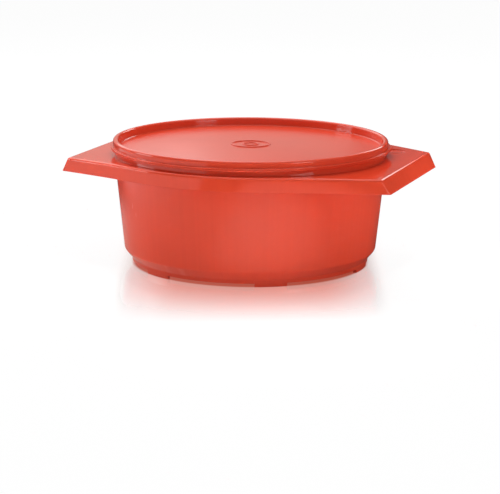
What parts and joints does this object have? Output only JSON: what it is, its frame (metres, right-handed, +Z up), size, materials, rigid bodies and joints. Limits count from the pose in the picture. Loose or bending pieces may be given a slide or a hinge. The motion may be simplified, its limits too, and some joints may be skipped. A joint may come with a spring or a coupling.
{
  "type": "tortilla warmer",
  "caption": "Low round tapered bowl with a wide flat flange drawn out into a handle on each side, and a press-on lid with a sunken panel.",
  "frame": {"origin": "centre of the circle that the feet stand on, level with the surface under them", "axes": "+X along the two handles, towards the one with the shallow thumb dish; +Z up; +Y towards the back"},
  "size_m": [0.2876, 0.243, 0.1056],
  "materials": {
    "base_plastic": "satin injection-moulded polypropylene, coral red",
    "lid_plastic": "satin injection-moulded polyethylene, coral red"
  },
  "bodies": {
    "base": {"base": "base_plastic"},
    "lid": {"lid": "lid_plastic"}
  },
  "joints": [
    {"name": "lid_lift", "type": "slide", "parent": "base", "child": "lid", "axis": [0, 0, 1], "range_m": [0, 0.08]}
  ]
}
